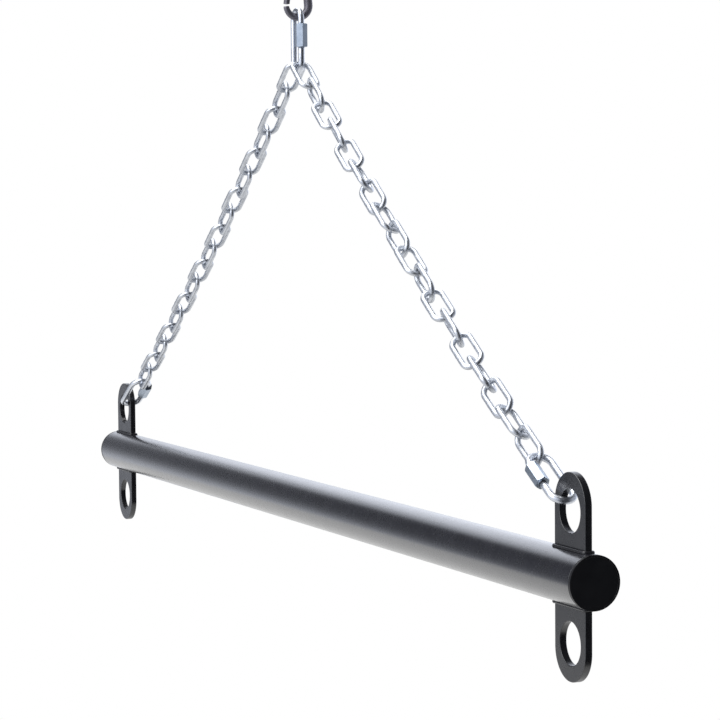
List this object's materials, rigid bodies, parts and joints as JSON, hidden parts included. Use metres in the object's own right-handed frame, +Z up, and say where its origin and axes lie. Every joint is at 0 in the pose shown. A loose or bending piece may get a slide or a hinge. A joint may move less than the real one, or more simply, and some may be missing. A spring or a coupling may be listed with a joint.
{
  "type": "suspension bar",
  "caption": "Steel bar hung level from one snap hook by chains and quick links, with a holed lug plate near each end.",
  "frame": {"origin": "the point the snap hook hangs from: the inner top of its upper bow, in the middle of the bar's length", "axes": "+X along the bar to its right end, +Y away from the side the picture shows, +Z up"},
  "size_m": [1.2, 0.0424, 0.6098],
  "materials": {
    "bar_coating": "satin black powder coat",
    "lug_coating": "satin black powder coat",
    "weld_coating": "powder coated weld bead",
    "cap_plastic": "moulded, matt black",
    "chain_zinc": "bright zinc plate",
    "quick_link_zinc": "bright zinc plate",
    "nut_zinc": "blue zinc plate",
    "hook_coating": "dark grey coat",
    "gate_steel": "plain steel"
  },
  "bodies": {
    "snap_hook": {"snap_hook_body": "hook_coating", "gate_pin": "gate_steel"},
    "gate": {"snap_hook_gate": "hook_coating", "gate_spring": "gate_steel"},
    "top_quick_link": {"top_quick_link_body": "quick_link_zinc"},
    "top_quick_link_nut": {"top_quick_link_nut": "nut_zinc"},
    "first_links": {"left_link_01": "chain_zinc", "right_link_01": "chain_zinc"},
    "left_link_02": {"left_link_02": "chain_zinc"},
    "left_link_03": {"left_link_03": "chain_zinc"},
    "left_link_04": {"left_link_04": "chain_zinc"},
    "left_link_05": {"left_link_05": "chain_zinc"},
    "left_link_06": {"left_link_06": "chain_zinc"},
    "left_link_07": {"left_link_07": "chain_zinc"},
    "left_link_08": {"left_link_08": "chain_zinc"},
    "left_link_09": {"left_link_09": "chain_zinc"},
    "left_link_10": {"left_link_10": "chain_zinc"},
    "left_link_11": {"left_link_11": "chain_zinc"},
    "left_link_12": {"left_link_12": "chain_zinc"},
    "left_link_13": {"left_link_13": "chain_zinc"},
    "left_link_14": {"left_link_14": "chain_zinc"},
    "left_link_15": {"left_link_15": "chain_zinc"},
    "left_link_16": {"left_link_16": "chain_zinc"},
    "left_link_17": {"left_link_17": "chain_zinc"},
    "left_link_18": {"left_link_18": "chain_zinc"},
    "left_quick_link": {"left_quick_link_body": "quick_link_zinc"},
    "left_quick_link_nut": {"left_quick_link_nut": "nut_zinc"},
    "right_link_02": {"right_link_02": "chain_zinc"},
    "right_link_03": {"right_link_03": "chain_zinc"},
    "right_link_04": {"right_link_04": "chain_zinc"},
    "right_link_05": {"right_link_05": "chain_zinc"},
    "right_link_06": {"right_link_06": "chain_zinc"},
    "right_link_07": {"right_link_07": "chain_zinc"},
    "right_link_08": {"right_link_08": "chain_zinc"},
    "right_link_09": {"right_link_09": "chain_zinc"},
    "right_link_10": {"right_link_10": "chain_zinc"},
    "right_link_11": {"right_link_11": "chain_zinc"},
    "right_link_12": {"right_link_12": "chain_zinc"},
    "right_link_13": {"right_link_13": "chain_zinc"},
    "right_link_14": {"right_link_14": "chain_zinc"},
    "right_link_15": {"right_link_15": "chain_zinc"},
    "right_link_16": {"right_link_16": "chain_zinc"},
    "right_link_17": {"right_link_17": "chain_zinc"},
    "right_link_18": {"right_link_18": "chain_zinc"},
    "right_quick_link": {"right_quick_link_body": "quick_link_zinc"},
    "right_quick_link_nut": {"right_quick_link_nut": "nut_zinc"},
    "bar": {"bar_tube": "bar_coating", "left_lug_plate": "lug_coating", "left_upper_weld": "weld_coating", "left_lower_weld": "weld_coating", "left_end_cap": "cap_plastic", "right_lug_plate": "lug_coating", "right_upper_weld": "weld_coating", "right_lower_weld": "weld_coating", "right_end_cap": "cap_plastic"}
  },
  "joints": [
    {"name": "gate_hinge", "type": "hinge", "parent": "snap_hook", "child": "gate", "pos_m": [0, -0.00795, -0.0125], "axis": [1, 0, 0], "range_deg": [0, 26], "stiffness_Nm_per_rad": 0.02, "springref_deg": -14.32},
    {"name": "top_quick_link_sway", "type": "hinge", "parent": "snap_hook", "child": "top_quick_link", "pos_m": [0, 0, -0.0595], "axis": [0, 1, 0], "range_deg": [-60, 60]},
    {"name": "top_nut_travel", "type": "slide", "parent": "top_quick_link", "child": "top_quick_link_nut", "axis": [0, 0, -1], "range_m": [0, 0.0085]},
    {"name": "chain_swing", "type": "hinge", "parent": "top_quick_link", "child": "first_links", "pos_m": [0, 0, -0.10728], "axis": [1, 0, 0], "range_deg": [-32, 32]},
    {"name": "left_link_02_turn", "type": "hinge", "parent": "first_links", "child": "left_link_02", "pos_m": [-0.04568, 0, -0.13526], "axis": [0.8066, 0, 0.5911], "range_deg": [-20, 20]},
    {"name": "left_link_03_turn", "type": "hinge", "parent": "first_links", "child": "left_link_03", "pos_m": [-0.07268, 0, -0.15492], "axis": [0.8099, 0, 0.5865], "range_deg": [-20, 20]},
    {"name": "left_link_04_turn", "type": "hinge", "parent": "first_links", "child": "left_link_04", "pos_m": [-0.09978, 0, -0.17444], "axis": [0.8133, 0, 0.5819], "range_deg": [-20, 20]},
    {"name": "left_link_05_turn", "type": "hinge", "parent": "first_links", "child": "left_link_05", "pos_m": [-0.12701, 0, -0.19379], "axis": [0.8167, 0, 0.5771], "range_deg": [-20, 20]},
    {"name": "left_link_06_turn", "type": "hinge", "parent": "first_links", "child": "left_link_06", "pos_m": [-0.15434, 0, -0.21298], "axis": [0.8201, 0, 0.5723], "range_deg": [-20, 20]},
    {"name": "left_link_07_turn", "type": "hinge", "parent": "first_links", "child": "left_link_07", "pos_m": [-0.18179, 0, -0.23202], "axis": [0.8235, 0, 0.5674], "range_deg": [-20, 20]},
    {"name": "left_link_08_turn", "type": "hinge", "parent": "first_links", "child": "left_link_08", "pos_m": [-0.20935, 0, -0.25088], "axis": [0.8269, 0, 0.5624], "range_deg": [-20, 20]},
    {"name": "left_link_09_turn", "type": "hinge", "parent": "first_links", "child": "left_link_09", "pos_m": [-0.23702, 0, -0.26958], "axis": [0.8303, 0, 0.5573], "range_deg": [-20, 20]},
    {"name": "left_link_10_turn", "type": "hinge", "parent": "first_links", "child": "left_link_10", "pos_m": [-0.26481, 0, -0.28811], "axis": [0.8338, 0, 0.5521], "range_deg": [-20, 20]},
    {"name": "left_link_11_turn", "type": "hinge", "parent": "first_links", "child": "left_link_11", "pos_m": [-0.29272, 0, -0.30646], "axis": [0.8372, 0, 0.5469], "range_deg": [-20, 20]},
    {"name": "left_link_12_turn", "type": "hinge", "parent": "first_links", "child": "left_link_12", "pos_m": [-0.32074, 0, -0.32464], "axis": [0.8407, 0, 0.5416], "range_deg": [-20, 20]},
    {"name": "left_link_13_turn", "type": "hinge", "parent": "first_links", "child": "left_link_13", "pos_m": [-0.34887, 0, -0.34264], "axis": [0.8441, 0, 0.5361], "range_deg": [-20, 20]},
    {"name": "left_link_14_turn", "type": "hinge", "parent": "first_links", "child": "left_link_14", "pos_m": [-0.37712, 0, -0.36045], "axis": [0.8476, 0, 0.5306], "range_deg": [-20, 20]},
    {"name": "left_link_15_turn", "type": "hinge", "parent": "first_links", "child": "left_link_15", "pos_m": [-0.40549, 0, -0.37808], "axis": [0.8511, 0, 0.525], "range_deg": [-20, 20]},
    {"name": "left_link_16_turn", "type": "hinge", "parent": "first_links", "child": "left_link_16", "pos_m": [-0.43398, 0, -0.39552], "axis": [0.8546, 0, 0.5193], "range_deg": [-20, 20]},
    {"name": "left_link_17_turn", "type": "hinge", "parent": "first_links", "child": "left_link_17", "pos_m": [-0.46258, 0, -0.41277], "axis": [0.8581, 0, 0.5135], "range_deg": [-20, 20]},
    {"name": "left_link_18_turn", "type": "hinge", "parent": "first_links", "child": "left_link_18", "pos_m": [-0.49129, 0, -0.42983], "axis": [0.8616, 0, 0.5077], "range_deg": [-20, 20]},
    {"name": "left_quick_link_turn", "type": "hinge", "parent": "first_links", "child": "left_quick_link", "pos_m": [-0.52842, 0, -0.45143], "axis": [0.8661, 0, 0.5], "range_deg": [-8, 8]},
    {"name": "left_nut_travel", "type": "slide", "parent": "left_quick_link", "child": "left_quick_link_nut", "axis": [-0.8661, 0, -0.5], "range_m": [0, 0.0085]},
    {"name": "right_link_02_turn", "type": "hinge", "parent": "first_links", "child": "right_link_02", "pos_m": [0.04568, 0, -0.13526], "axis": [-0.8066, 0, 0.5911], "range_deg": [-20, 20]},
    {"name": "right_link_03_turn", "type": "hinge", "parent": "first_links", "child": "right_link_03", "pos_m": [0.07268, 0, -0.15492], "axis": [-0.8099, 0, 0.5865], "range_deg": [-20, 20]},
    {"name": "right_link_04_turn", "type": "hinge", "parent": "first_links", "child": "right_link_04", "pos_m": [0.09978, 0, -0.17444], "axis": [-0.8133, 0, 0.5819], "range_deg": [-20, 20]},
    {"name": "right_link_05_turn", "type": "hinge", "parent": "first_links", "child": "right_link_05", "pos_m": [0.12701, 0, -0.19379], "axis": [-0.8167, 0, 0.5771], "range_deg": [-20, 20]},
    {"name": "right_link_06_turn", "type": "hinge", "parent": "first_links", "child": "right_link_06", "pos_m": [0.15434, 0, -0.21298], "axis": [-0.8201, 0, 0.5723], "range_deg": [-20, 20]},
    {"name": "right_link_07_turn", "type": "hinge", "parent": "first_links", "child": "right_link_07", "pos_m": [0.18179, 0, -0.23202], "axis": [-0.8235, 0, 0.5674], "range_deg": [-20, 20]},
    {"name": "right_link_08_turn", "type": "hinge", "parent": "first_links", "child": "right_link_08", "pos_m": [0.20935, 0, -0.25088], "axis": [-0.8269, 0, 0.5624], "range_deg": [-20, 20]},
    {"name": "right_link_09_turn", "type": "hinge", "parent": "first_links", "child": "right_link_09", "pos_m": [0.23702, 0, -0.26958], "axis": [-0.8303, 0, 0.5573], "range_deg": [-20, 20]},
    {"name": "right_link_10_turn", "type": "hinge", "parent": "first_links", "child": "right_link_10", "pos_m": [0.26481, 0, -0.28811], "axis": [-0.8338, 0, 0.5521], "range_deg": [-20, 20]},
    {"name": "right_link_11_turn", "type": "hinge", "parent": "first_links", "child": "right_link_11", "pos_m": [0.29272, 0, -0.30646], "axis": [-0.8372, 0, 0.5469], "range_deg": [-20, 20]},
    {"name": "right_link_12_turn", "type": "hinge", "parent": "first_links", "child": "right_link_12", "pos_m": [0.32074, 0, -0.32464], "axis": [-0.8407, 0, 0.5416], "range_deg": [-20, 20]},
    {"name": "right_link_13_turn", "type": "hinge", "parent": "first_links", "child": "right_link_13", "pos_m": [0.34887, 0, -0.34264], "axis": [-0.8441, 0, 0.5361], "range_deg": [-20, 20]},
    {"name": "right_link_14_turn", "type": "hinge", "parent": "first_links", "child": "right_link_14", "pos_m": [0.37712, 0, -0.36045], "axis": [-0.8476, 0, 0.5306], "range_deg": [-20, 20]},
    {"name": "right_link_15_turn", "type": "hinge", "parent": "first_links", "child": "right_link_15", "pos_m": [0.40549, 0, -0.37808], "axis": [-0.8511, 0, 0.525], "range_deg": [-20, 20]},
    {"name": "right_link_16_turn", "type": "hinge", "parent": "first_links", "child": "right_link_16", "pos_m": [0.43398, 0, -0.39552], "axis": [-0.8546, 0, 0.5193], "range_deg": [-20, 20]},
    {"name": "right_link_17_turn", "type": "hinge", "parent": "first_links", "child": "right_link_17", "pos_m": [0.46258, 0, -0.41277], "axis": [-0.8581, 0, 0.5135], "range_deg": [-20, 20]},
    {"name": "right_link_18_turn", "type": "hinge", "parent": "first_links", "child": "right_link_18", "pos_m": [0.49129, 0, -0.42983], "axis": [-0.8616, 0, 0.5077], "range_deg": [-20, 20]},
    {"name": "right_quick_link_turn", "type": "hinge", "parent": "first_links", "child": "right_quick_link", "pos_m": [0.52842, 0, -0.45143], "axis": [-0.8661, 0, 0.5], "range_deg": [-8, 8]},
    {"name": "right_nut_travel", "type": "slide", "parent": "right_quick_link", "child": "right_quick_link_nut", "axis": [0.8661, 0, -0.5], "range_m": [0, 0.0085]},
    {"name": "bar_rock", "type": "hinge", "parent": "first_links", "child": "bar", "pos_m": [0, 0, -0.4612], "axis": [1, 0, 0], "range_deg": [-14, 14]}
  ]
}
